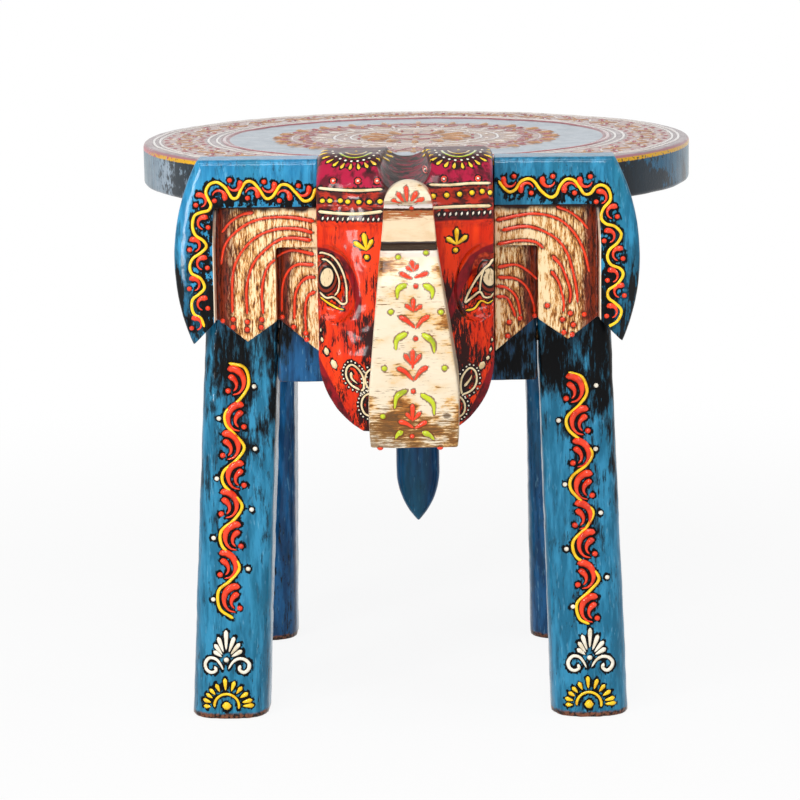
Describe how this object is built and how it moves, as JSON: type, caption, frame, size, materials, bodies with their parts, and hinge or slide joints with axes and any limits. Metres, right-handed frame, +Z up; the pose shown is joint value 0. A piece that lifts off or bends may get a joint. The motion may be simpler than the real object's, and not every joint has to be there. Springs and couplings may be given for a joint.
{
  "type": "carved elephant stool",
  "caption": "Low round painted wooden stool on square legs, with a carved elephant head, pleated ears, raised trunk and tail; a seat or small side table.",
  "frame": {"origin": "on the floor, under the middle of the whole stool's bounding box", "axes": "+Z up, the head faces -Y, +X to the right of someone who faces the head"},
  "size_m": [0.306, 0.368, 0.3115],
  "materials": {
    "seat_paint": "hand-painted seat: pale blue ground with rings and raised coloured ornament under clear lacquer, antiqued",
    "blue_paint": "hand-painted blue wood with dark antiquing in streaks and worn edges, under glossy lacquer",
    "head_paint": "orange-red and maroon hand paint with raised ornament, antiqued, glossy lacquer",
    "ear_paint": "cream pleats with raised red lines and a blue border with raised ornament, antiqued, glossy lacquer",
    "trunk_paint": "cream hand paint rubbed with brown, raised ornament, glossy lacquer",
    "bare_wood": "plain sawn hardwood, oiled",
    "steel": "zinc-plated steel"
  },
  "bodies": {
    "root": {"seat_board_left": "seat_paint", "seat_board_middle": "seat_paint", "seat_board_right": "seat_paint", "leg_front_left": "blue_paint", "leg_front_right": "blue_paint", "leg_rear_left": "blue_paint", "leg_rear_right": "blue_paint", "rail_front": "blue_paint", "rail_rear": "blue_paint", "rail_left": "blue_paint", "rail_right": "blue_paint", "head_block": "head_paint", "ear_left": "ear_paint", "ear_right": "ear_paint", "trunk": "trunk_paint", "tail": "blue_paint", "rail_dowels": "bare_wood", "leg_dowels": "bare_wood", "seat_dowels": "bare_wood", "trunk_dowels": "bare_wood", "head_screws": "steel", "ear_nails": "steel", "tail_screw": "steel"}
  },
  "joints": []
}
